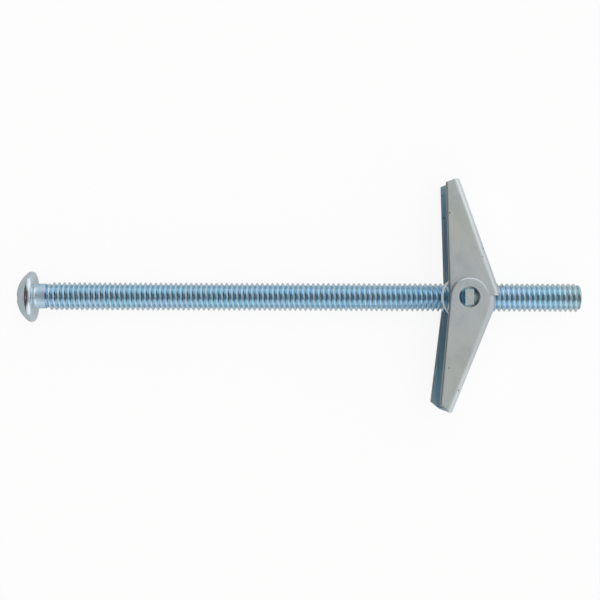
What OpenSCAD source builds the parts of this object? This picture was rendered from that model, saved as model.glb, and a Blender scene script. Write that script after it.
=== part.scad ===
// Spring toggle bolt: a round head machine screw, the flat trunnion nut that runs on it,
// two folded wings that nest into each other, and the wire spring that throws them open.
// +X runs along the screw from the head to its end. The origin is the centre of the face
// under the head. +Z is the axis that the wings turn about, and they stand open along Y.

/* [Screw] */
// Major diameter of the thread
thread_d = 7.85; // [6.5:0.05:9]
// Pitch of the thread
thread_pitch = 1.411; // [1.25:0.001:1.6]
// Depth of the thread
thread_depth = 0.8; // [0.5:0.05:0.95]
// Length from the face under the head to the end
screw_len = 150.8; // [145:0.1:200]
// Diameter of the plain neck under the head
neck_d = 6.9; // [5.5:0.05:7.4]
// Length of the plain neck
neck_len = 3.15; // [2:0.05:8]
// Fillet between the neck and the head
neck_fillet = 0.7; // [0.3:0.05:1.2]
// Diameter of the end face, inside its chamfer
tip_d = 6.2; // [4:0.1:6.4]
// Length of the chamfer on the end
tip_chamfer = 1.3; // [0.5:0.1:2.5]

/* [Head] */
// Diameter of the head
head_d = 14; // [12:0.1:16]
// Height of the head
head_h = 5.1; // [4.6:0.05:6]
// Height at which the dome would meet the rim
head_rim = 1.5; // [1.2:0.05:1.8]
// Rounding where the dome runs into the rim
dome_edge = 1; // [0.5:0.05:1.2]
// Rounding of the rim's lower edge
seat_edge = 0.35; // [0.1:0.05:0.5]
// Width of the cross recess over its wings
recess_d = 7.4; // [5.5:0.1:8]
// Thickness of the recess's wings
recess_wing = 1.7; // [1:0.1:2.2]
// Depth of the recess from the top of the dome
recess_depth = 3.5; // [2:0.1:4]
// Width of the recess at its floor
recess_floor = 2.8; // [2:0.1:4]
// Turn of the recess about the screw
recess_turn = 12; // [0:1:45]

/* [Nut] */
// Place of the wings' pivot along the screw
pivot_x = 119.5; // [60:0.5:130]
// Thickness of the nut's plate and of its two tabs
nut_t = 2.35; // [1.8:0.05:3]
// Wall of the nut above and below the thread
nut_wall = 0.8; // [0.6:0.05:1.2]
// Radius on the corners of the nut's plate
nut_corner = 0.8; // [0.3:0.1:1.2]
// Length of the collar drawn out round the thread
collar_len = 2; // [1:0.1:2.5]
// Height of the tabs that the wings turn on
tab_h = 4.6; // [3.5:0.1:5]
// Chamfer on the tabs' ends
tab_chamfer = 0.35; // [0.1:0.05:0.6]
// How far the tabs' ends lie inside the outer wing's faces
tab_inset = 0.15; // [0:0.05:0.5]
// Radial clearance in the nut's thread
thread_clear = 0.06; // [0.02:0.01:0.1]

/* [Wings] */
// Thickness of the wings' sheet
sheet_t = 1.15; // [0.9:0.05:1.4]
// Outer radius of the wings' folds
bend_r = 1.8; // [1.5:0.05:2.2]
// Gap between the nested ears, and between the inner ears and the nut
nest_gap = 0.2; // [0.1:0.05:0.4]
// Play between the tabs' corners and the holes in the ears
pin_play = 0.29; // [0.15:0.01:0.4]
// Sheet left round the hole in an ear
ear_rim = 2.42; // [2:0.02:3]
// Pivot to tip, inner wing, along its bearing edge
inner_len = 31.5; // [26:0.5:36]
// Pivot to tip, outer wing, along its bearing edge
outer_len = 29.9; // [26:0.1:36]
// Taper between the bearing edge and the spine, inner wing
inner_taper = 17.9; // [17.1:0.2:18.9]
// Taper between the bearing edge and the spine, outer wing
outer_taper = 16.7; // [16:0.1:18.5]
// Slope of the inner wing's tip
inner_tip = 20; // [0:1:35]
// Slope of the outer wing's tip
outer_tip = 33; // [0:1:40]
// Cut off the corner where a tip meets the spine
tip_corner = 0.7; // [0.3:0.05:1.2]
// Gap between an ear's round end and the inner wing's web
inner_web_gap = 2.1; // [1.5:0.05:2.4]
// Gap between an ear's round end and the outer wing's web
outer_web_gap = 0.65; // [0.6:0.05:1.2]
// How far the inner wing's spine would pass its flat end at the pivot
inner_kink = 0.45; // [0.2:0.05:0.8]
// How far the outer wing's spine would pass its flat end at the pivot
outer_kink = 0.75; // [0.2:0.05:0.8]
// Lean of the open inner wing towards the head
inner_lean = 1.75; // [0:0.05:5]
// Lean of the open outer wing towards the head
outer_lean = 5.1; // [0:0.05:5.5]
// Height at which the two webs meet when open
seam_y = 0.45; // [0:0.05:0.6]
// Gap between the webs' ends when open
seam_gap = 0.1; // [0.05:0.01:0.3]
// Clearance between the screw and the notch in a web
notch_clear = 0.65; // [0.4:0.05:0.8]
// Reach of the notch along the wing, from the pivot
notch_len = 5.3; // [5:0.1:7]

/* [Spring] */
// Diameter of the spring's wire
wire_d = 0.7; // [0.5:0.05:0.9]
// Gap between the wire and what it runs past
wire_gap = 0.1; // [0.06:0.01:0.2]
// How far the coil's centre lies from the pivot towards the head
coil_shift = 1.25; // [0.8:0.05:1.4]
// Distance along a wing's web at which the spring's leg ends
leg_reach = 13; // [10:0.5:18]

/* [Hidden] */
$fn = 96;
over = 1;                                 // cutters pass what they cut by this much
zinc = [0.73, 0.77, 0.80];
sheet_zinc = [0.68, 0.70, 0.68];
wire_steel = [0.80, 0.84, 0.88];

thread_r = thread_d / 2;
root_r = thread_r - thread_depth;
neck_r = neck_d / 2;
head_r = head_d / 2;
dome_h = head_h - head_rim;
dome_r = (head_r * head_r + dome_h * dome_h) / (2 * dome_h);
dome_y = head_h - dome_r;                 // the dome's centre, up the head from its seat
recess_angle = atan2(recess_d - recess_floor, 2 * recess_depth);

nut_half_h = thread_r + nut_wall;
coil_r = norm([nut_t / 2 + coil_shift, nut_half_h]) + wire_d / 2 + wire_gap;
coil_low_z = thread_r + wire_gap + wire_d / 2;
coil_high_z = coil_low_z + wire_d + wire_gap;
ear_in_z = coil_high_z + wire_d / 2 + wire_gap;
inner_w = 2 * (ear_in_z + sheet_t);
outer_w = inner_w + 2 * (nest_gap + sheet_t);

hole_r = norm([nut_t, tab_h]) / 2 + pin_play;
ear_r = hole_r + ear_rim;
notch_r = thread_r + notch_clear;
inner_web_x = ear_r + inner_web_gap + sheet_t;
outer_web_x = ear_r + outer_web_gap + sheet_t;
foot_x = outer_web_x - bend_r + nest_gap;   // clear of the bend inside the outer web
inner_spine_x = inner_web_x + inner_kink;
outer_spine_x = outer_web_x + outer_kink;
ear_foot = 20;                            // where an ear's round end runs out to the web
coil_steps = 56;
wire_sides = 8;
thread_sides = 16;

// Profile of the head: half of the section, with its seat on the X axis and its top up.
module head_profile() {
    edge_x = head_r - dome_edge;
    edge_y = dome_y + sqrt(pow(dome_r - dome_edge, 2) - pow(edge_x, 2));
    edge_slope = (edge_y - dome_y) / edge_x;
    difference() {
        intersection() {
            translate([0, dome_y]) circle(dome_r);
            square([head_r, head_h]);
        }
        // the dome runs into the rim on an arc that touches both
        difference() {
            polygon([[edge_x, edge_y], [head_r + over, edge_y],
                     [head_r + over, edge_y + (dome_edge + over) * edge_slope]]);
            translate([edge_x, edge_y]) circle(dome_edge);
        }
        difference() {
            translate([head_r - seat_edge, -over]) square([seat_edge + over, seat_edge + over]);
            translate([head_r - seat_edge, seat_edge]) circle(seat_edge);
        }
    }
}

// Profile of the fillet between the seat and the neck.
module fillet_profile() {
    difference() {
        translate([0, -neck_fillet]) square([neck_r + neck_fillet, neck_fillet + seat_edge]);
        translate([neck_r + neck_fillet, -neck_fillet]) circle(neck_fillet);
    }
}

// Radius of the thread's crest at a place along the screw: it grows out of the root over
// the first turn past the neck.
function crest_r(x) = root_r + thread_depth * max(0, min(1, (x - neck_len) / thread_pitch));

// Right-hand thread, longer than the screw at both ends: a crest line and, half a pitch
// ahead of it, a root line wind round the X axis, with the flanks between them.
module thread() {
    first_x = neck_len - 1.5 * thread_pitch;
    steps = thread_sides * ceil((screw_len - first_x) / thread_pitch + 1);
    last = steps - thread_sides;
    turns = [for (i = [0:steps])
        let (a = 360 * i / thread_sides)
        [first_x + thread_pitch * i / thread_sides, cos(a), sin(a)]];
    crests = [for (t = turns) [t.x, crest_r(t.x) * t.y, crest_r(t.x) * t.z]];
    roots = [for (t = turns) [t.x + thread_pitch / 2, root_r * t.y, root_r * t.z]];
    // the points are the crests, the roots and the two ends on the axis
    root = steps + 1;
    start = 2 * root;
    end = start + 1;
    rising = [for (i = [0:steps - 1]) each
        [[i, root + i + 1, i + 1], [i, root + i, root + i + 1]]];
    falling = [for (i = [0:last - 1])
        let (next = i + thread_sides) each
        [[root + i, next + 1, root + i + 1], [root + i, next, next + 1]]];
    start_cap = [for (i = [0:thread_sides - 1]) [start, i, i + 1],
                 [start, thread_sides, root], [start, root, 0]];
    end_cap = [for (i = [last:steps - 1]) [end, root + i + 1, root + i],
               [end, steps, root + steps], [end, root + last, steps]];
    polyhedron(points = concat(crests, roots, [[first_x, 0, 0], [roots[steps].x, 0, 0]]),
               faces = concat(rising, falling, start_cap, end_cap));
}

// Profile that the end is turned to, with its chamfer: the seat is on the X axis and the
// screw hangs below it.
module end_profile() {
    clear_r = 2 * thread_r;
    slope = tip_chamfer / (thread_r - tip_d / 2);
    polygon([[0, 0], [clear_r, 0], [clear_r, (clear_r - tip_d / 2) * slope - screw_len],
             [tip_d / 2, -screw_len], [0, -screw_len]]);
}

// Cross recess, cut down from the top of the dome.
module recess() {
    for (turn = [0, 90])
        rotate([0, 0, turn])
            rotate([90, 0, 0])
                linear_extrude(height = recess_wing, center = true)
                    polygon([[-recess_floor / 2, -recess_depth], [recess_floor / 2, -recess_depth],
                             [recess_d / 2 + over * tan(recess_angle), over],
                             [-recess_d / 2 - over * tan(recess_angle), over]]);
    translate([0, 0, -recess_depth])
        cylinder(r1 = recess_floor / 3, r2 = recess_floor / 2 + recess_wing / 8,
                 h = recess_depth + over);
}

module machine_screw() {
    color(zinc)
        rotate([0, -90, 0])
            difference() {
                union() {
                    rotate_extrude() head_profile();
                    rotate_extrude() fillet_profile();
                    translate([0, 0, -neck_len]) cylinder(r = neck_r, h = neck_len + over);
                    intersection() {
                        rotate([0, 90, 0]) thread();
                        rotate_extrude() end_profile();
                    }
                }
                translate([0, 0, head_h]) rotate([0, 0, recess_turn]) recess();
            }
}

// Blank of the nut, seen along the screw: a plate with a tab on each side.
module nut_blank() {
    body_z = ear_in_z - nest_gap;
    tab_z = outer_w / 2 - tab_inset;
    tab_y = tab_h / 2;
    square([2 * nut_half_h, 2 * (body_z - nut_corner)], center = true);
    square([2 * (nut_half_h - nut_corner), 2 * body_z], center = true);
    for (sy = [-1, 1], sz = [-1, 1])
        translate([sy * (nut_half_h - nut_corner), sz * (body_z - nut_corner)])
            circle(nut_corner);
    polygon([[-tab_y, tab_chamfer - tab_z], [tab_chamfer - tab_y, -tab_z],
             [tab_y - tab_chamfer, -tab_z], [tab_y, tab_chamfer - tab_z],
             [tab_y, tab_z - tab_chamfer], [tab_y - tab_chamfer, tab_z],
             [tab_chamfer - tab_y, tab_z], [-tab_y, tab_z - tab_chamfer]]);
}

module trunnion_nut() {
    color(zinc)
        translate([pivot_x, 0, 0])
            difference() {
                union() {
                    rotate([90, 0, 90])
                        linear_extrude(height = nut_t, center = true) nut_blank();
                    rotate([0, 90, 0]) cylinder(r = nut_half_h, h = nut_t / 2 + collar_len);
                }
                rotate([0, 90, 0])
                    cylinder(r = thread_r + thread_clear, h = nut_t + 2 * collar_len + over,
                             center = true);
            }
}

// Bar with two rounded long edges, on the far side of its face: the face is the plane
// x = 0, the bar lies at x < 0 and runs along Y.
module rounded_bar(width, edge, reach) {
    depth = 4 * ear_r;
    rotate([90, 0, 180])
        translate([0, 0, -reach])
            linear_extrude(height = 2 * reach) {
                translate([edge, -width / 2]) square([depth - edge, width]);
                translate([0, edge - width / 2]) square([depth, width - 2 * edge]);
                for (side = [-1, 1])
                    translate([edge, side * (width / 2 - edge)]) circle(edge);
            }
}

// Solid that a wing is folded round, less the given skin: it is bounded by the spine,
// which runs at the taper, and by the flat end of the web beside the pivot.
module wing_form(width, web_x, spine_x, taper, len, skin) {
    intersection() {
        translate([spine_x, 0, 0])
            rotate([0, 0, taper])
                translate([-skin, 0, 0]) rounded_bar(width - 2 * skin, bend_r - skin, 2 * len);
        translate([web_x - skin, 0, 0])
            rounded_bar(width - 2 * skin, bend_r - skin, 2 * len);
    }
}

// What a wing's blank covers in side view: the ear round the pivot, the bearing edge, the
// sloped tip with its corner off, and the web's end, which is square to the screw when the
// wing stands open. Below the web's end the ear runs back to its round end from foot_x.
module wing_side(width, web_x, spine_x, taper, len, tip, lean, seam) {
    far_x = spine_x + over;
    end_y = (seam - web_x * sin(lean)) / cos(lean);
    corner_y = (len + (spine_x + ear_r) * tan(tip)) / (1 + tan(taper) * tan(tip));
    corner = [spine_x - corner_y * tan(taper), corner_y];
    cut_from = corner - tip_corner * [cos(tip), sin(tip)];
    cut_to = corner - tip_corner * [-sin(taper), cos(taper)];
    cylinder(r = ear_r, h = width, center = true);
    linear_extrude(height = width, center = true)
        polygon([[-ear_r, 0], [-ear_r, len], cut_from, 2 * cut_to - cut_from,
                 [far_x, end_y - (far_x - web_x) * tan(lean)],
                 [foot_x, end_y + (web_x - foot_x) * tan(lean)],
                 [ear_r * cos(ear_foot), -ear_r * sin(ear_foot)], [0, 0]]);
}

// A wing in its own frame: the pivot is the Z axis and the tip lies towards +Y.
module wing(width, web_x, spine_x, taper, len, tip, lean, seam) {
    difference() {
        intersection() {
            wing_form(width, web_x, spine_x, taper, len, 0);
            union() wing_side(width, web_x, spine_x, taper, len, tip, lean, seam);
        }
        wing_form(width, web_x, spine_x, taper, len, sheet_t);
        cylinder(r = hole_r, h = width + over, center = true);
        // the screw passes the web in a notch with a round end
        translate([0, notch_len - notch_r, 0])
            rotate([0, 90, 0]) cylinder(r = notch_r, h = 2 * spine_x);
        translate([0, notch_len - notch_r - 2 * ear_r, -notch_r])
            cube([2 * spine_x, 2 * ear_r, 2 * notch_r]);
    }
}

module inner_wing() {
    color(sheet_zinc)
        translate([pivot_x, 0, 0])
            rotate([0, 0, inner_lean])
                wing(inner_w, inner_web_x, inner_spine_x, inner_taper, inner_len, inner_tip,
                     inner_lean, seam_y + seam_gap / 2);
}

module outer_wing() {
    color(sheet_zinc)
        translate([pivot_x, 0, 0])
            mirror([0, 1, 0])
                rotate([0, 0, outer_lean])
                    wing(outer_w, outer_web_x, outer_spine_x, outer_taper, outer_len, outer_tip,
                         outer_lean, seam_gap / 2 - seam_y);
}

// End of a spring leg: a point on the line that the wire's centre keeps inside a web.
function leg_end(spine_x, taper, lean) =
    let (turn = taper + lean,
         off = spine_x * cos(taper) - sheet_t - wire_d / 2 - wire_gap)
    [off * cos(turn) - leg_reach * sin(turn), off * sin(turn) + leg_reach * cos(turn)];

// Angle on the coil at which a straight leg to the given point leaves it.
function leg_angle(end) =
    let (v = end + [coil_shift, 0])
    atan2(v.y, v.x) - acos(coil_r / norm(v));

function coil_point(angle) = [coil_r * cos(angle) - coil_shift, coil_r * sin(angle)];

// A ring of the wire round a point, square to the way it runs in plan.
function wire_ring(p, along) =
    let (side = [along.y, -along.x] / norm(along))
    [for (i = [0:wire_sides - 1])
        let (a = 360 * (i + 0.5) / wire_sides)
        [p.x + side.x * wire_d / 2 * cos(a), p.y + side.y * wire_d / 2 * cos(a),
         p.z + wire_d / 2 * sin(a)]];

// The wire: a leg down the inner wing's web, one turn round the nut between the screw
// and the ears, and a leg down the outer wing's web.
module torsion_spring() {
    inner_end = leg_end(inner_spine_x, inner_taper, inner_lean);
    outer_up = leg_end(outer_spine_x, outer_taper, outer_lean);
    outer_end = [outer_up.x, -outer_up.y];
    start = leg_angle(inner_end);
    turn = 360 + start + leg_angle(outer_up);
    coil = [for (i = [0:coil_steps])
        let (p = coil_point(start - turn * i / coil_steps))
        [p.x, p.y, coil_low_z + (coil_high_z - coil_low_z) * i / coil_steps]];
    path = concat([[inner_end.x, inner_end.y, coil_low_z]], coil,
                  [[outer_end.x, outer_end.y, coil_high_z]]);
    last = len(path) - 1;
    rings = [for (i = [0:last])
        wire_ring(path[i],
                  i == 0 ? path[1] - path[0]
                  : i == last ? path[last] - path[last - 1]
                  : let (a = path[i] - path[i - 1], b = path[i + 1] - path[i])
                    a / norm(a) + b / norm(b))];
    sides = [for (i = [0:last - 1], j = [0:wire_sides - 1])
        let (k = (j + 1) % wire_sides)
        [i * wire_sides + j, i * wire_sides + k, (i + 1) * wire_sides + k,
         (i + 1) * wire_sides + j]];
    caps = [[for (j = [wire_sides - 1:-1:0]) j],
            [for (j = [0:wire_sides - 1]) last * wire_sides + j]];
    color(wire_steel)
        translate([pivot_x, 0, 0])
            polyhedron(points = [for (ring = rings, p = ring) p], faces = concat(sides, caps));
}

machine_screw();
trunnion_nut();
torsion_spring();
inner_wing();
outer_wing();
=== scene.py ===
"""Spring toggle bolt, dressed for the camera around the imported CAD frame.

The frame is in metres: +X runs along the screw from the head to its end, the origin is the
centre of the face under the head, and +Z is the axis that the wings turn about. The sizes
named here are in millimetres and the angles in degrees, unless a comment says otherwise.
"""

import math

import bmesh
import bpy
from mathutils import Matrix, Vector

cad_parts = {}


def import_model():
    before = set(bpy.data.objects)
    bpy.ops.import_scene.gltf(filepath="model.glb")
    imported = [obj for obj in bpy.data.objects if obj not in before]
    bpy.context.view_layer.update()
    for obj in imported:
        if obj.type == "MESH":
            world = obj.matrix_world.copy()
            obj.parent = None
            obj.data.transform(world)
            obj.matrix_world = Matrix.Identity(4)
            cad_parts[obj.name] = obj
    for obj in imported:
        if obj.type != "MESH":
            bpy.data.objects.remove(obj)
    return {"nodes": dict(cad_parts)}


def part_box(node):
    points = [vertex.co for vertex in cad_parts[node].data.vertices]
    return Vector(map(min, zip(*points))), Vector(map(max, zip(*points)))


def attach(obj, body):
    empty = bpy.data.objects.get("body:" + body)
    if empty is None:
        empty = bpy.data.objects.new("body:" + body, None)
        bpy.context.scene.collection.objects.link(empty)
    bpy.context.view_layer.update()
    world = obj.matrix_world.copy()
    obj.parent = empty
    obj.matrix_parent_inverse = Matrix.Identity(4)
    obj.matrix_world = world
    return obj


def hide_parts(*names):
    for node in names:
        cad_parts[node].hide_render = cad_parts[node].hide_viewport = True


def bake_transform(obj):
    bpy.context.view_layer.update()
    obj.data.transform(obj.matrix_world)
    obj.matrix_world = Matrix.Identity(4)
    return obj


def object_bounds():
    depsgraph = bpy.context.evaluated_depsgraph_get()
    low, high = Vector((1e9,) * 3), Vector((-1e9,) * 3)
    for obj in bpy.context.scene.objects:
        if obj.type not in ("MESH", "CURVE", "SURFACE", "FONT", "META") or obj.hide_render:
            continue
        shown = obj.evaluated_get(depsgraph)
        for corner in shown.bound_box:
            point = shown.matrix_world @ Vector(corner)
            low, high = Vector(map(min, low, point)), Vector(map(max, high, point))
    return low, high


MM = 0.001

# The screw, 5/16-18 UNC. CREST_FLAT is a share of the pitch.
PITCH = 1.411
THREAD_R = 3.925
ROOT_R = 3.125
FLANK_SLOPE = math.tan(math.radians(30))
CREST_FLAT = 0.07
CREST_SOFT = 0.10
ROOT_SOFT = 0.09
ROOT_SUNK = 0.2 * ROOT_SOFT
NECK_R = 3.45
NECK_LEN = 3.15
NECK_FILLET = 0.7
TIP_R = 3.25
TIP_CHAMFER = 0.9
CREST_X = NECK_LEN + 1.5 * PITCH
RUN_OUT = PITCH

# Its head, and the cross recess in it.
HEAD_R = 7.0
HEAD_H = 5.1
HEAD_RIM = 1.5
HEAD_DROP = 0.2
DOME_EDGE = 1.0
SEAT_EDGE = 0.8
RECESS_D = 7.4
RECESS_WING = 1.7
RECESS_DEPTH = 3.5
RECESS_FLOOR = 2.8
RECESS_TURN = 12
CUTTER_OVER = 1.0

# The wings. EAR_TOPS are the outer faces of the inner and of the outer wing's ears.
PIVOT_X = 119.5
SHEET_T = 1.15
EAR_IN_Z = 5.625
EAR_TOPS = (6.775, 8.125)
HOLE_WALL_R = 3.05

# Broken edges: the radius on the wings' ears and on the nut, and the zones of an ear.
EAR_EDGE = 0.46
NUT_EDGE = 0.18
EDGE_SEGMENTS = 3
REAR_SHARE = 0.75
HOLE_ZONE_R = 3.4
ARC_ZONE_R = 7.2
FRONT_X = PIVOT_X - 4.4
SEAM_X = PIVOT_X + 5.0
SEAM_Y = 3.2
TIP_Y = 31

# The outer wing's shear: its most, where it starts, how far it runs and how it grows.
SHEAR = 1.05
SHEAR_FROM = 3
SHEAR_RUN = 28
SHEAR_POWER = 0.75

# The nut, and the spring's wire round it, in the wings' plane about their pivot.
NUT_T = 2.35
NUT_HALF_H = 4.725
WIRE_D = 0.7
WIRE_GAP = 0.1
COIL_SHIFT = 1.25
COIL_R = math.hypot(NUT_T / 2 + COIL_SHIFT, NUT_HALF_H) + WIRE_D / 2 + WIRE_GAP
COIL_LOW_Z = 4.375
COIL_HIGH_Z = 5.175
LEG_REACH = 13

# Each leg's wing: the ridge of its web from the pivot, its taper and its lean when open.
INNER_LEG = (8.993, 17.9, 1.75)
OUTER_LEG = (7.843, 16.7, 5.1)

# Mesh density. THREAD_SAMPLES are shares of the pitch from a crest.
AROUND = 48
THREAD_SAMPLES = (
    0, 0.03, 0.06, 0.09, 0.13, 0.18, 0.26, 0.35, 0.43,
    0.5, 0.57, 0.65, 0.74, 0.82, 0.87, 0.91, 0.94, 0.97,
)
ARC_STEPS = 8
DOME_STEPS = 26
WIRE_SIDES = 16
COIL_STEPS = 120
LEG_STEPS = 14

# Distances and angles under which mesh parts count as one, and over which edges are sharp.
WELD = 1e-3
FINE_WELD = 1e-4
FLAT_ANGLE = 0.4
SHARP_ANGLE = 32
WIRE_SHARP_ANGLE = 40

# The camera looks down on the bolt as it lies.
CAMERA_PLACE = (70.25, -8.0, 350.0)
CAMERA_LEAN = 0.679
CAMERA_TILT = 1.167
CAMERA_ROLL = 0.217
CAMERA_LENS = 75.652
CAMERA_SENSOR = 36
CAMERA_SHIFT = 0.045

# The paper under the bolt: its shares of plain white for the camera and in mirrors.
FLOOR_HALF = 1500
FLOOR_GAP = 0.02
PAPER = (0.9, 0.9, 0.9)
SEEN_WHITE = 0.88
MIRRORED_SHARE = 0.85
MIRRORED_LEVEL = 0.5

# The lamp over the paper, in metres and watts.
LAMP_PLACE = (0.075, 0, 1.1)
LAMP_SIZE = 1.6
LAMP_POWER = 8.5

# Bright patches of the light tent: direction, cosines from none to full, and level.
TENT_PATCHES = (
    ((0.76, 0.33, 0.56), 0.84, 0.96, 0.80),
    ((0.80, -0.36, 0.48), 0.84, 0.96, 0.48),
    ((-0.48, -0.10, 0.87), 0.993, 0.998, 0.50),
)
TENT_DIMMEST = 0.04
TENT_DARK_TINT = (1.0, 0.80, 0.80)
TENT_TINT = (1.0, 0.99, 0.97)

# Tones of the screw's zinc, with painted shade (roots, dome's top) and a painted highlight (seat
# rim). A list of pairs is a colour ramp.
THREAD_DRIFT = (
    (0.30, (0.62, 0.83, 1.0)),
    (0.44, (0.68, 0.88, 1.0)),
    (0.54, (0.74, 0.88, 1.0)),
    (0.64, (0.67, 0.90, 1.0)),
)
THREAD_END = (0.80, 0.88, 0.78)
THREAD_CREST = (0.70, 0.91, 1.0)
THREAD_ROOT_SHADE = (0.32, 0.56, 0.76)
SHANK = (0.64, 0.83, 0.98)
DOME_CLOUD = (
    (0.34, (0.60, 0.76, 0.76)),
    (0.50, (0.68, 0.79, 0.86)),
    (0.64, (0.76, 0.82, 0.96)),
)
DOME_TOP_SHADE = (0.44, 0.56, 0.56)
SEAT_RIM_HIGHLIGHT = (0.78, 0.92, 1.0)

# Tones of the wings' sheet, from the pivot to the tips, and what lies over them: painted
# highlights, painted shade and specks.
SHEET_ALONG = (
    (0.0, (0.75, 0.82, 0.84)),
    (0.30, (0.77, 0.82, 0.81)),
    (0.70, (0.76, 0.81, 0.78)),
    (1.0, (0.73, 0.80, 0.79)),
)
SHEET_CLOUD = (
    (0.30, (0.86, 0.88, 0.90)),
    (0.50, (0.96, 0.97, 0.97)),
    (0.70, (1.0, 1.0, 0.98)),
)
SHEET_FOLD_HIGHLIGHT = (0.84, 0.91, 0.96)
SHEET_FOLD_SHADE = (0.60, 0.64, 0.70)
SHEET_EDGE_HIGHLIGHT = (0.97, 0.99, 1.0)
SHEET_INSIDE_SHADE = (
    (0.36, (0.33, 0.55, 0.65)),
    (0.62, (0.52, 0.72, 0.80)),
)
SHEET_FRONT_SHADE = (0.30, 0.31, 0.31)
SPECK = (0.12, 0.12, 0.13)

# Tones of the small parts, each from one end of a fine cloud to the other.
NUT_TONES = ((0.76, 0.88, 0.91), (0.88, 0.98, 1.0))
WIRE_TONES = ((0.86, 0.92, 0.96), (0.94, 0.98, 1.0))
WHITE = (1.0, 1.0, 1.0)


# ---------------------------------------------------------------- mesh helpers


def new_object(name, data):
    obj = bpy.data.objects.new(name, data)
    bpy.context.scene.collection.objects.link(obj)
    return obj


def object_from(name, verts, faces):
    """An object from points in millimetres."""
    mesh = bpy.data.meshes.new(name)
    mesh.from_pydata([[c * MM for c in v] for v in verts], [], faces)
    mesh.validate()
    return new_object(name, mesh)


def edit(obj, work):
    """Runs work on obj's mesh as a bmesh."""
    bm = bmesh.new()
    bm.from_mesh(obj.data)
    work(bm)
    bm.to_mesh(obj.data)
    bm.free()


def face_outward(obj):
    edit(obj, lambda bm: bmesh.ops.recalc_face_normals(bm, faces=bm.faces))


def shade(obj, sharp_angle=SHARP_ANGLE):
    """Smooth shading, apart from edges that turn by more than sharp_angle."""
    limit = math.radians(sharp_angle)

    def work(bm):
        for face in bm.faces:
            face.smooth = True
        for edge in bm.edges:
            edge.smooth = len(edge.link_faces) == 2 and edge.calc_face_angle(0) < limit

    edit(obj, work)


def apply_modifiers(obj):
    """Replaces obj's mesh by the result of its modifiers."""
    graph = bpy.context.evaluated_depsgraph_get()
    mesh = bpy.data.meshes.new_from_object(obj.evaluated_get(graph))
    obj.modifiers.clear()
    obj.data = mesh


def arc(centre, radius, start, end, steps=ARC_STEPS):
    """Points on an arc, ends included."""
    angles = [math.radians(start + (end - start) * i / steps) for i in range(steps + 1)]
    return [(centre[0] + radius * math.cos(a), centre[1] + radius * math.sin(a)) for a in angles]


# ---------------------------------------------------------------- screw


def head_outline():
    """The head's section from the top of the dome to the end of the neck, as (x, r)."""
    dome_h = HEAD_H - HEAD_RIM
    dome_r = (HEAD_R**2 + dome_h**2) / (2 * dome_h)
    dome_x = dome_r - HEAD_H
    edge_r = HEAD_R - DOME_EDGE
    edge_x = dome_x - math.sqrt((dome_r - DOME_EDGE) ** 2 - edge_r**2)
    edge_turn = math.degrees(math.atan2(edge_r, edge_x - dome_x))
    outline = arc((dome_x, 0), dome_r, 180, edge_turn, DOME_STEPS)
    outline += arc((edge_x, edge_r), DOME_EDGE, edge_turn, 90)[1:]
    outline += arc((-SEAT_EDGE, HEAD_R - SEAT_EDGE), SEAT_EDGE, 90, 0)
    outline += arc((NECK_FILLET, NECK_R + NECK_FILLET), NECK_FILLET, 180, 270)
    return outline + [(NECK_LEN, NECK_R)]


def ring(x, r):
    """One ring of AROUND points about the screw, from +Y towards +Z.

    The upset head sits HEAD_DROP off the shank's axis, towards -Y.
    """
    drop = HEAD_DROP * min(1.0, max(0.0, 1 - x / NECK_FILLET))
    turns = [2 * math.pi * j / AROUND for j in range(AROUND)]
    return [(x, r * math.cos(t) - drop, r * math.sin(t)) for t in turns]


def lathe(name, outline):
    """A closed solid of revolution about X. The outline starts on the axis."""
    verts = [(outline[0][0], -HEAD_DROP, 0)]
    for x, r in outline[1:]:
        verts += ring(x, r)
    rings = len(outline) - 1
    faces = [(0, 1 + (j + 1) % AROUND, 1 + j) for j in range(AROUND)]
    for i in range(rings - 1):
        for j in range(AROUND):
            a, b = 1 + i * AROUND, 1 + (i + 1) * AROUND
            k = (j + 1) % AROUND
            faces.append((a + j, a + k, b + k, b + j))
    faces.append(tuple(1 + (rings - 1) * AROUND + j for j in range(AROUND)))
    return object_from(name, verts, faces)


def recess_cutter():
    """Two crossed wedges, which cut the drive recess."""
    flare = (RECESS_D - RECESS_FLOOR) / 2 / RECESS_DEPTH * CUTTER_OVER
    outline = [
        (RECESS_DEPTH - HEAD_H, -RECESS_FLOOR / 2),
        (RECESS_DEPTH - HEAD_H, RECESS_FLOOR / 2),
        (-HEAD_H - CUTTER_OVER, RECESS_D / 2 + flare),
        (-HEAD_H - CUTTER_OVER, -RECESS_D / 2 - flare),
    ]
    verts, faces = [], []
    for turn in (RECESS_TURN, RECESS_TURN + 90):
        a = math.radians(turn)
        start = len(verts)
        for side in (-RECESS_WING / 2, RECESS_WING / 2):
            for x, w in outline:
                y = w * math.cos(a) - side * math.sin(a) - HEAD_DROP
                verts.append((x, y, w * math.sin(a) + side * math.cos(a)))
        quads = [(0, 1, 2, 3), (7, 6, 5, 4)]
        quads += [(j, j + 4, (j + 1) % 4 + 4, (j + 1) % 4) for j in range(4)]
        faces += [tuple(start + i for i in quad) for quad in quads]
    return object_from("recess_cutter", verts, faces)


def cut(obj, cutter):
    """Takes the cutter out of obj, and deletes it."""
    face_outward(cutter)
    modifier = obj.modifiers.new("cut", "BOOLEAN")
    modifier.operation = "DIFFERENCE"
    modifier.solver = "EXACT"
    modifier.use_self = True
    modifier.object = cutter
    apply_modifiers(obj)
    bpy.data.objects.remove(cutter)


def eased(a, b, soft):
    """The smaller of a and b, rounded where they meet."""
    return 0.5 * (a + b - math.sqrt((a - b) ** 2 + 4 * soft * soft))


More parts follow.
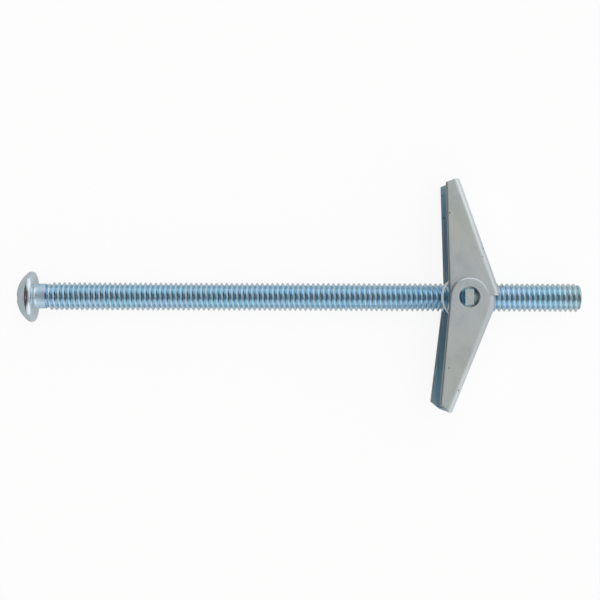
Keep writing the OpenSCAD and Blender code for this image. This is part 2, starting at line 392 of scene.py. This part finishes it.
def thread_radius(share):
    """Radius of the thread at a share of the pitch from a crest."""
    flat = CREST_FLAT * PITCH
    away = min(share, 1 - share) * PITCH
    flank = THREAD_R - (away - flat) / FLANK_SLOPE
    top = eased(THREAD_R + flat / FLANK_SLOPE, THREAD_R, CREST_SOFT)
    crest = eased(flank, THREAD_R, CREST_SOFT) + THREAD_R - top
    return -eased(-crest, -ROOT_R, ROOT_SOFT) - ROOT_SUNK


def thread_mesh(end_x):
    """The thread, from a flat ring at the neck's end to the chamfered end, as an open tube.

    Each column of points runs along the screw at one angle, with its samples shifted by that
    share of the pitch, so that the edges between columns follow the helix.
    """
    samples = len(THREAD_SAMPLES)
    first = math.floor((NECK_LEN - CREST_X) / PITCH) - 1
    last = math.ceil((end_x - CREST_X) / PITCH) + 1
    verts, faces = [], []
    for j in range(AROUND):
        turn = j / AROUND
        a = 2 * math.pi * turn
        for k in range(first, last):
            for sample in THREAD_SAMPLES:
                x = CREST_X + (k + turn + sample) * PITCH
                x = min(max(x, NECK_LEN), end_x)
                r = thread_radius(((x - CREST_X) / PITCH - turn) % 1.0)
                grown = min(1.0, (x - NECK_LEN) / RUN_OUT)
                r = ROOT_R + (r - ROOT_R) * grown if x > NECK_LEN else NECK_R
                r = min(r, TIP_R + (end_x - x) / TIP_CHAMFER * (THREAD_R - TIP_R), THREAD_R)
                verts.append((x, r * math.cos(a), r * math.sin(a)))
    column = (last - first) * samples
    for j in range(AROUND):
        here, there = j * column, ((j + 1) % AROUND) * column
        shift = samples if j == AROUND - 1 else 0
        for k in range(column - 1 - shift):
            faces.append((here + k, there + shift + k, there + shift + k + 1, here + k + 1))
    obj = object_from("thread", verts, faces)

    def work(bm):
        bmesh.ops.remove_doubles(bm, verts=bm.verts, dist=FINE_WELD * MM)
        bmesh.ops.dissolve_degenerate(bm, edges=bm.edges, dist=FINE_WELD * MM)

    edit(obj, work)
    return obj


def machine_screw():
    """The head with its recess, welded at the neck's end to the thread."""
    end_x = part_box("machine_screw")[1].x / MM
    screw = lathe("screw", head_outline())
    cut(screw, recess_cutter())
    thread = thread_mesh(end_x)

    def at_neck_end(face):
        return all(abs(v.co.x - NECK_LEN * MM) < FINE_WELD * MM for v in face.verts)

    def work(bm):
        neck_end = [face for face in bm.faces if at_neck_end(face)]
        bmesh.ops.delete(bm, geom=neck_end, context="FACES_ONLY")
        bm.from_mesh(thread.data)
        bmesh.ops.remove_doubles(bm, verts=bm.verts, dist=WELD * MM)
        open_edges = [e for e in bm.edges if len(e.link_faces) == 1]
        bmesh.ops.holes_fill(bm, edges=open_edges, sides=AROUND * 2)
        bmesh.ops.recalc_face_normals(bm, faces=bm.faces)

    edit(screw, work)
    bpy.data.objects.remove(thread)
    shade(screw)
    return screw


# ---------------------------------------------------------------- sheet and nut


def softened(node, name, radius, rolled=None):
    """The CAD solid of a node with its sharp edges broken by radius, as tumbling leaves them.

    rolled gives a share of the radius for each edge, from its two ends in millimetres. Without
    it every sharp edge has the whole radius, as far as its neighbours leave room.
    """
    obj = new_object(name, frame["nodes"][node].data.copy())
    obj.data.materials.clear()
    if obj.data.has_custom_normals:
        obj.data.attributes.remove(obj.data.attributes["custom_normal"])

    def work(bm):
        bmesh.ops.remove_doubles(bm, verts=bm.verts, dist=WELD * MM)
        flat = math.radians(FLAT_ANGLE)
        bmesh.ops.dissolve_limit(
            bm, angle_limit=flat, verts=bm.verts, edges=bm.edges, delimit=set()
        )
        weight = bm.edges.layers.float.new("bevel_weight_edge")
        for edge in bm.edges:
            if len(edge.link_faces) == 2 and edge.calc_face_angle(0) > math.radians(SHARP_ANGLE):
                ends = [vertex.co / MM for vertex in edge.verts]
                edge[weight] = rolled(*ends) if rolled else 1.0

    edit(obj, work)
    bevel = obj.modifiers.new("edges", "BEVEL")
    bevel.width = radius * MM
    bevel.segments = EDGE_SEGMENTS
    bevel.limit_method = "WEIGHT"
    bevel.use_clamp_overlap = rolled is None
    apply_modifiers(obj)
    shade(obj)
    weighted = obj.modifiers.new("normals", "WEIGHTED_NORMAL")
    weighted.keep_sharp = True
    return obj


def ear_edge_share(a, b):
    """Share of the edge radius for a wing's edge: the ears' outer outlines, but not the tips."""
    middle = (a + b) / 2
    from_pivot = math.hypot(middle.x - PIVOT_X, middle.y)
    seam = middle.x > SEAM_X and abs(middle.y) < SEAM_Y
    outer = all(min(abs(abs(end.z) - top) for top in EAR_TOPS) < 0.01 for end in (a, b))
    if seam or not outer or from_pivot < HOLE_ZONE_R or abs(middle.y) > TIP_Y:
        return 0.0
    return 1.0 if middle.x < FRONT_X or from_pivot < ARC_ZONE_R else REAR_SHARE


def shear(obj):
    """Moves the outer wing's far ear towards the head, the more the nearer to the tip."""
    top = EAR_TOPS[1]
    for vertex in obj.data.vertices:
        _, y, z = vertex.co / MM
        reach = max(0.0, -y - SHEAR_FROM) / SHEAR_RUN
        vertex.co.x -= SHEAR * reach**SHEAR_POWER * (top - z) / (2 * top) * MM


def mark_faces(obj, name, value_of):
    """A face attribute, from each face's middle in millimetres and its normal."""
    values = [value_of(face.center / MM, face.normal) for face in obj.data.polygons]
    attribute = obj.data.attributes.new(name, "FLOAT", "FACE")
    attribute.data.foreach_set("value", values)


def inside_shade_share(at, way):
    """1 on the faces that look into a wing's channel or are the wall of a hole, where the sheet
    gets painted shade.
    """
    between = abs(at.z) < EAR_IN_Z + SHEET_T + 0.5
    ear = way.z * at.z < 0 and abs(way.z) > 0.5
    web = way.x < -0.5 and abs(at.z) < EAR_IN_Z - 0.2
    hole = math.hypot(at.x - PIVOT_X, at.y) < HOLE_WALL_R and abs(way.z) < 0.7
    return 1.0 if between and (ear or web) or hole else 0.0


def front_shade_share(at, way):
    """Rises to 1 over the cut edges that face the head, which get painted shade."""
    front = at.x < PIVOT_X - 3.5 and abs(at.z) > EAR_IN_Z - 0.1
    return min(1.0, max(0.0, (-way.x - 0.1) / 0.6)) if front else 0.0


# ---------------------------------------------------------------- spring


def leg_end(spine_x, taper, lean):
    """End of a leg: a point on the line that the wire's centre keeps inside a web."""
    off = spine_x * math.cos(math.radians(taper)) - SHEET_T - WIRE_D / 2 - WIRE_GAP
    turn = math.radians(taper + lean)
    return (
        off * math.cos(turn) - LEG_REACH * math.sin(turn),
        off * math.sin(turn) + LEG_REACH * math.cos(turn),
    )


def leg_angle(end):
    """Angle on the coil at which a straight leg to the given point leaves it."""
    x, y = end[0] + COIL_SHIFT, end[1]
    return math.degrees(math.atan2(y, x) - math.acos(COIL_R / math.hypot(x, y)))


def spring_path():
    """The centre line of the whole wire, and the step at which it passes the coil's far side."""
    inner = leg_end(*INNER_LEG)
    outer = leg_end(*OUTER_LEG)
    start = leg_angle(inner)
    turn = 360 + start + leg_angle(outer)
    coil = []
    for i in range(COIL_STEPS + 1):
        a = math.radians(start - turn * i / COIL_STEPS)
        z = COIL_LOW_Z + (COIL_HIGH_Z - COIL_LOW_Z) * i / COIL_STEPS
        coil.append(Vector((COIL_R * math.cos(a) - COIL_SHIFT, COIL_R * math.sin(a), z)))
    first = Vector((inner[0], inner[1], COIL_LOW_Z))
    last = Vector((outer[0], -outer[1], COIL_HIGH_Z))
    path = [first.lerp(coil[0], i / LEG_STEPS) for i in range(LEG_STEPS)] + coil
    path += [coil[-1].lerp(last, (i + 1) / LEG_STEPS) for i in range(LEG_STEPS)]
    middle = LEG_STEPS + round(COIL_STEPS * (180 + start) / turn)
    return path, middle


def wire(name, path):
    """A round wire along path, about the pivot, with flat ends."""
    verts, faces = [], []
    last = len(path) - 1
    for i, p in enumerate(path):
        along = (path[min(i + 1, last)] - path[max(i - 1, 0)]).normalized()
        side = along.cross(Vector((0, 0, 1))).normalized()
        up = side.cross(along)
        for j in range(WIRE_SIDES):
            a = 2 * math.pi * (j + 0.5) / WIRE_SIDES
            q = p + (side * math.cos(a) + up * math.sin(a)) * WIRE_D / 2
            verts.append((q.x + PIVOT_X, q.y, q.z))
    for i in range(last):
        for j in range(WIRE_SIDES):
            k = (j + 1) % WIRE_SIDES
            a, b = i * WIRE_SIDES, (i + 1) * WIRE_SIDES
            faces.append((a + j, a + k, b + k, b + j))
    faces.append(tuple(range(WIRE_SIDES - 1, -1, -1)))
    faces.append(tuple(last * WIRE_SIDES + j for j in range(WIRE_SIDES)))
    obj = object_from(name, verts, faces)
    face_outward(obj)
    shade(obj, WIRE_SHARP_ANGLE)
    return obj


def torsion_spring(material):
    """The wire in two halves, split where it passes the coil's far side, each running on to the
    leg in its wing.
    """
    path, middle = spring_path()
    halves = (
        ("spring_inner", path[: middle + 1], "inner_wing", 1),
        ("spring_outer", path[middle:], "outer_wing", -1),
    )
    for name, part, wing, side in halves:
        piece = wire(name, part)
        piece.data.materials.append(material)
        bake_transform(piece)
        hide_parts("torsion_spring")


# ---------------------------------------------------------------- nodes


def add(tree, kind, inputs=None, **settings):
    """A node of a tree. inputs gives a value, or an output to link, for each socket."""
    node = tree.nodes.new(kind)
    for name, value in settings.items():
        setattr(node, name, value)
    for socket, value in (inputs or {}).items():
        if isinstance(value, bpy.types.NodeSocket):
            tree.links.new(value, node.inputs[socket])
        else:
            node.inputs[socket].default_value = value
    return node


def math_node(tree, operation, a, b=0.0):
    return add(tree, "ShaderNodeMath", {0: a, 1: b}, operation=operation).outputs[0]


def dot(tree, a, b):
    node = add(tree, "ShaderNodeVectorMath", {0: a, 1: b}, operation="DOT_PRODUCT")
    return node.outputs["Value"]


def ramp(tree, value, low, high, top=1.0, bottom=0.0):
    """A smooth step from bottom at low to top at high."""
    inputs = {"Value": value, "From Min": low, "From Max": high, "To Min": bottom, "To Max": top}
    return add(tree, "ShaderNodeMapRange", inputs, interpolation_type="SMOOTHSTEP").outputs[0]


def mix_shader(tree, share, a, b):
    return add(tree, "ShaderNodeMixShader", {0: share, 1: a.outputs[0], 2: b.outputs[0]})


def mix_color(tree, share, a, b, blend="MIX"):
    """Colour a with a share of b over it. Each is a colour or an output."""
    node = add(tree, "ShaderNodeMix", data_type="RGBA", blend_type=blend)
    for index, value in ((0, share), (6, a), (7, b)):
        if isinstance(value, bpy.types.NodeSocket):
            tree.links.new(value, node.inputs[index])
        else:
            node.inputs[index].default_value = value if index == 0 else (*value, 1)
    return node.outputs[2]


def color_ramp(tree, value, stops):
    """Colours at shares of value, in the order given."""
    node = add(tree, "ShaderNodeValToRGB", {0: value})
    elements = node.color_ramp.elements
    while len(elements) < len(stops):
        elements.new(0.5)
    for element, (at, color) in zip(elements, stops):
        element.position = at
        element.color = (*color, 1)
    return node.outputs[0]


def noise(tree, at, scale, detail=3.0, roughness=0.5, distortion=0.0):
    inputs = {"Vector": at, "Scale": scale, "Detail": detail}
    inputs.update({"Roughness": roughness, "Distortion": distortion})
    return add(tree, "ShaderNodeTexNoise", inputs).outputs["Fac"]


def stretched(tree, at, scale):
    return add(tree, "ShaderNodeMapping", {"Vector": at, "Scale": scale}).outputs[0]


# ---------------------------------------------------------------- stage


def stage(low):
    """The paper under the bolt. It shows near white, and metal mirrors it a little greyer."""
    low = low / MM - FLOOR_GAP
    corners = ((-1, -1), (1, -1), (1, 1), (-1, 1))
    verts = [(x * FLOOR_HALF, y * FLOOR_HALF, low) for x, y in corners]
    floor = object_from("floor", verts, [(0, 1, 2, 3)])
    material = bpy.data.materials.new("paper")
    material.use_nodes = True
    tree = material.node_tree
    tree.nodes.clear()
    ray = add(tree, "ShaderNodeLightPath").outputs
    paper = add(tree, "ShaderNodeBsdfDiffuse", {"Color": (*PAPER, 1)})
    white = add(tree, "ShaderNodeEmission", {"Strength": 1.0})
    pale = add(tree, "ShaderNodeEmission", {"Strength": MIRRORED_LEVEL})
    seen = math_node(tree, "MULTIPLY", ray["Is Camera Ray"], SEEN_WHITE)
    mirrored = math_node(tree, "MAXIMUM", ray["Is Glossy Ray"], ray["Is Transmission Ray"])
    mirrored = math_node(tree, "MULTIPLY", mirrored, MIRRORED_SHARE)
    surface = mix_shader(tree, mirrored, mix_shader(tree, seen, paper, white), pale)
    add(tree, "ShaderNodeOutputMaterial", {"Surface": surface.outputs[0]})
    floor.data.materials.append(material)


def floor_lamp():
    """A wide soft lamp that brings the paper up to white. Metal doesn't mirror it."""
    data = bpy.data.lights.new("floor_lamp", "AREA")
    data.shape = "DISK"
    data.size = LAMP_SIZE
    data.energy = LAMP_POWER
    lamp = new_object("floor_lamp", data)
    lamp.location = LAMP_PLACE
    lamp.visible_camera = False
    lamp.visible_glossy = False


def world():
    """A light tent: bright long sides, a grey top, and dark gaps beyond the bolt's two ends."""
    room = bpy.data.worlds.new("studio")
    bpy.context.scene.world = room
    room.use_nodes = True
    tree = room.node_tree
    tree.nodes.clear()
    at = add(tree, "ShaderNodeTexCoord").outputs["Generated"]
    x, y, _ = add(tree, "ShaderNodeSeparateXYZ", {0: at}).outputs
    beyond_end = ramp(tree, x, 0.55, 0.95, 0.52, 0.34)
    beyond_head = ramp(tree, x, 0.05, -0.10, -0.28)
    level = math_node(tree, "ADD", beyond_end, beyond_head)
    gap = ramp(tree, x, 0.03, -0.20, 0.27)
    reach = ramp(tree, x, -0.08, -0.45, 0.48, 1.0)
    far = ramp(tree, math_node(tree, "SUBTRACT", y, gap), 0.20, 0.60, 1.0)
    near = ramp(tree, math_node(tree, "ADD", y, gap), -0.20, -0.60, 0.97)
    parts = [math_node(tree, "MULTIPLY", side, reach) for side in (far, near)]
    for direction, none, full, most in TENT_PATCHES:
        towards = dot(tree, at, tuple(Vector(direction).normalized()))
        parts.append(ramp(tree, towards, none, full, most))
    for part in parts:
        level = math_node(tree, "MAXIMUM", level, part)
    level = math_node(tree, "ADD", level, TENT_DIMMEST)
    tint = mix_color(tree, ramp(tree, level, 0.05, 0.4), TENT_DARK_TINT, TENT_TINT)
    tent = add(tree, "ShaderNodeBackground", {"Color": tint, "Strength": level})
    white = add(tree, "ShaderNodeBackground", {"Color": (*WHITE, 1), "Strength": 1.0})
    ray = add(tree, "ShaderNodeLightPath").outputs
    surface = mix_shader(tree, ray["Is Camera Ray"], tent, white)
    add(tree, "ShaderNodeOutputWorld", {"Surface": surface.outputs[0]})


def camera():
    data = bpy.data.cameras.new("camera")
    data.lens = CAMERA_LENS
    data.sensor_width = CAMERA_SENSOR
    data.shift_x = CAMERA_SHIFT
    data.clip_start, data.clip_end = 0.01, 10
    obj = new_object("camera", data)
    lean = Matrix.Rotation(math.radians(CAMERA_LEAN), 4, "Y")
    tilt = Matrix.Rotation(math.radians(CAMERA_TILT), 4, "X")
    roll = Matrix.Rotation(math.radians(CAMERA_ROLL), 4, "Z")
    place = Matrix.Translation(Vector(CAMERA_PLACE) * MM)
    obj.matrix_world = place @ lean @ tilt @ roll
    bpy.context.scene.camera = obj


# ---------------------------------------------------------------- materials


def plated(name, metallic):
    """A metal's tree, with its shader, the piece's own coordinates and their three shares."""
    material = bpy.data.materials.new(name)
    material.use_nodes = True
    tree = material.node_tree
    shader = tree.nodes["Principled BSDF"]
    shader.inputs["Metallic"].default_value = metallic
    at = add(tree, "ShaderNodeTexCoord").outputs["Object"]
    split = add(tree, "ShaderNodeSeparateXYZ", {0: at})
    return material, tree, shader, at, split.outputs


def bumped(tree, shader, height, distance):
    """Bump from a height of 0 to 1 that stands for distance in millimetres."""
    inputs = {"Height": height, "Distance": distance * MM, "Strength": 1.0}
    node = add(tree, "ShaderNodeBump", inputs)
    tree.links.new(node.outputs[0], shader.inputs["Normal"])


def edge_share(tree, radius):
    """1 along sharp edges within radius millimetres, and 0 on flats."""
    soft = add(tree, "ShaderNodeBevel", {"Radius": radius * MM}, samples=6).outputs[0]
    sharp = add(tree, "ShaderNodeNewGeometry").outputs["Normal"]
    return ramp(tree, dot(tree, soft, sharp), 1 - 0.004, 1 - 0.12)


def marked(tree, name):
    """The share that a face attribute of the piece gives."""
    node = add(tree, "ShaderNodeAttribute", attribute_name=name, attribute_type="GEOMETRY")
    return node.outputs["Fac"]


def screw_finish():
    """Bright zinc with a blue passivate that drifts to lilac and green along the thread."""
    material, tree, shader, at, (x, y, z) = plated("zinc_blue", 1.0)
    across = add(tree, "ShaderNodeVectorMath", {0: at, 1: (0, 1, 1)}, operation="MULTIPLY")
    across = {0: across.outputs[0]}
    radius = add(tree, "ShaderNodeVectorMath", across, operation="LENGTH").outputs["Value"]

    drift = noise(tree, stretched(tree, at, (60, 110, 110)), 1.0, 3.0, 0.55, 0.6)
    color = color_ramp(tree, drift, THREAD_DRIFT)
    end = ramp(tree, x, 142 * MM, 150 * MM, 0.55)
    color = mix_color(tree, end, color, THREAD_END)
    crest = ramp(tree, radius, 3.70 * MM, 3.89 * MM, 0.7)
    color = mix_color(tree, crest, color, THREAD_CREST)
    # Painted shade: the thread's roots are darkened towards a deep blue.
    root_shade = ramp(tree, radius, 3.5 * MM, 3.15 * MM, 0.85)
    color = mix_color(tree, root_shade, color, THREAD_ROOT_SHADE)
    shank = ramp(tree, x, (NECK_LEN + 0.2) * MM, (NECK_LEN - 0.3) * MM)
    color = mix_color(tree, shank, color, SHANK)

    head = ramp(tree, x, 1.2 * MM, 0.1 * MM)
    dome = color_ramp(tree, noise(tree, at, 260.0, 4.0, 0.6, 0.4), DOME_CLOUD)
    # Painted shade: the dome darkens towards its top.
    dome = mix_color(tree, ramp(tree, x, -1.6 * MM, -4.4 * MM, 0.7), dome, DOME_TOP_SHADE)
    # Painted highlight: a brighter ring on the rim by the seat.
    outside = ramp(tree, radius, 5.0 * MM, 5.6 * MM)
    rim_highlight = math_node(tree, "MULTIPLY", outside, ramp(tree, x, -0.85 * MM, -0.55 * MM))
    dome = mix_color(tree, rim_highlight, dome, SEAT_RIM_HIGHLIGHT)
    color = mix_color(tree, head, color, dome)
    tree.links.new(color, shader.inputs["Base Color"])

    neck = math_node(tree, "SUBTRACT", shank, head)
    rough = ramp(tree, noise(tree, at, 420.0, 4.0, 0.6), 0.35, 0.65, 0.25, 0.14)
    rough = math_node(tree, "ADD", rough, math_node(tree, "MULTIPLY", neck, 0.35))
    tree.links.new(rough, shader.inputs["Roughness"])

    grain = noise(tree, at, 1500.0, 4.0, 0.6)
    lay = noise(tree, stretched(tree, at, (1500, 90, 90)), 1.0, 3.0, 0.6)
    lay = math_node(tree, "MULTIPLY", lay, math_node(tree, "MULTIPLY", head, 5.0))
    bumped(tree, shader, math_node(tree, "ADD", grain, lay), 0.012)
    return material


def sheet_finish():
    """Zinc on pressed sheet: satin flats, rolled edges and folds with painted highlights,
    painted shade in the channels, on the folds near the pivot and on the edges that face the
    head, and specks.
    """
    material, tree, shader, at, (_, y, _) = plated("zinc_sheet", 0.8)
    away = math_node(tree, "ABSOLUTE", y)
    color = color_ramp(tree, ramp(tree, away, 2 * MM, 32 * MM), SHEET_ALONG)
    cloud = noise(tree, stretched(tree, at, (220, 150, 220)), 1.0, 4.0, 0.6, 0.3)
    color = mix_color(tree, 1.0, color, color_ramp(tree, cloud, SHEET_CLOUD), "MULTIPLY")

    # Painted highlight: where the faces turn away from straight up, on the folds, the sheet is a
    # brighter bluish white.
    facing = add(tree, "ShaderNodeNewGeometry").outputs["Normal"]
    facing = add(tree, "ShaderNodeSeparateXYZ", {0: facing}).outputs["Z"]
    fold_highlight = ramp(tree, facing, 0.985, 0.90)
    color = mix_color(tree, fold_highlight, color, SHEET_FOLD_HIGHLIGHT)
    # Painted shade: the folds darken towards the pivot.
    fold_shade = math_node(tree, "MULTIPLY", fold_highlight, ramp(tree, away, 26 * MM, 8 * MM, 0.6))
    color = mix_color(tree, fold_shade, color, SHEET_FOLD_SHADE)
    edge = edge_share(tree, 0.35)
    # Painted highlight: the sharp edges are brightened to near white.
    color = mix_color(tree, math_node(tree, "MULTIPLY", edge, 0.9), color, SHEET_EDGE_HIGHLIGHT)

    streak = noise(tree, stretched(tree, at, (900, 45, 900)), 1.0, 3.0, 0.55)
    inside = marked(tree, "inside")
    # Painted shade: the faces inside the channels and the holes' walls are darkened to a teal.
    color = mix_color(tree, inside, color, color_ramp(tree, streak, SHEET_INSIDE_SHADE))
    # Painted shade: the edges that face the head are darkened.
    front_shade = math_node(tree, "MULTIPLY", marked(tree, "front_shade"), 0.9)
    color = mix_color(tree, front_shade, color, SHEET_FRONT_SHADE)

    cells = {"Vector": at, "Scale": 420.0, "Randomness": 1.0}
    cells = add(tree, "ShaderNodeTexVoronoi", cells).outputs
    pick = add(tree, "ShaderNodeSeparateColor", {0: cells["Color"]}).outputs[0]
    speck = ramp(tree, cells["Distance"], 0.13, 0.06)
    speck = math_node(tree, "MULTIPLY", speck, ramp(tree, pick, 0.72, 0.75))
    color = mix_color(tree, math_node(tree, "MULTIPLY", speck, 0.85), color, SPECK)
    tree.links.new(color, shader.inputs["Base Color"])

    rough = ramp(tree, cloud, 0.3, 0.7, 0.38, 0.30)
    rough = math_node(tree, "SUBTRACT", rough, math_node(tree, "MULTIPLY", edge, 0.2))
    tree.links.new(rough, shader.inputs["Roughness"])
    bumped(tree, shader, noise(tree, at, 1300.0, 4.0, 0.65), 0.012)
    return material


def plain_finish(name, tones, metallic, smoothest, roughest):
    """Zinc on a small solid part: tones by a fine cloud, with a painted highlight along the
    edges.
    """
    material, tree, shader, at, _ = plated(name, metallic)
    cloud = noise(tree, at, 350.0, 4.0, 0.6, 0.3)
    color = color_ramp(tree, cloud, ((0.32, tones[0]), (0.66, tones[1])))
    # Painted highlight: the sharp edges are brightened to white.
    edge = math_node(tree, "MULTIPLY", edge_share(tree, 0.3), 0.9)
    tree.links.new(mix_color(tree, edge, color, WHITE), shader.inputs["Base Color"])
    rough = ramp(tree, cloud, 0.35, 0.65, roughest, smoothest)
    tree.links.new(rough, shader.inputs["Roughness"])
    bumped(tree, shader, noise(tree, at, 1400.0, 4.0, 0.6), 0.01)
    return material


# ---------------------------------------------------------------- scene

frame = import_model()
bpy.context.view_layer.update()
cad_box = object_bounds()

screw = machine_screw()
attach(screw, "screw")
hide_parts("machine_screw")
screw.data.materials.append(screw_finish())

sheet = sheet_finish()
for wing in ("inner_wing", "outer_wing"):
    piece = softened(wing, wing + "_sheet", EAR_EDGE, ear_edge_share)
    mark_faces(piece, "inside", inside_shade_share)
    mark_faces(piece, "front_shade", front_shade_share)
    if wing == "outer_wing":
        shear(piece)
    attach(piece, wing)
    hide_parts(wing)
    piece.data.materials.append(sheet)

nut = softened("trunnion_nut", "nut_body", NUT_EDGE)
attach(nut, "nut")
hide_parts("trunnion_nut")
nut.data.materials.append(plain_finish("zinc_nut", NUT_TONES, 0.9, 0.18, 0.32))

torsion_spring(plain_finish("zinc_wire", WIRE_TONES, 0.55, 0.20, 0.32))

camera()
floor_lamp()
world()
stage(cad_box[0].z)
bpy.context.scene.view_settings.view_transform = "Standard"
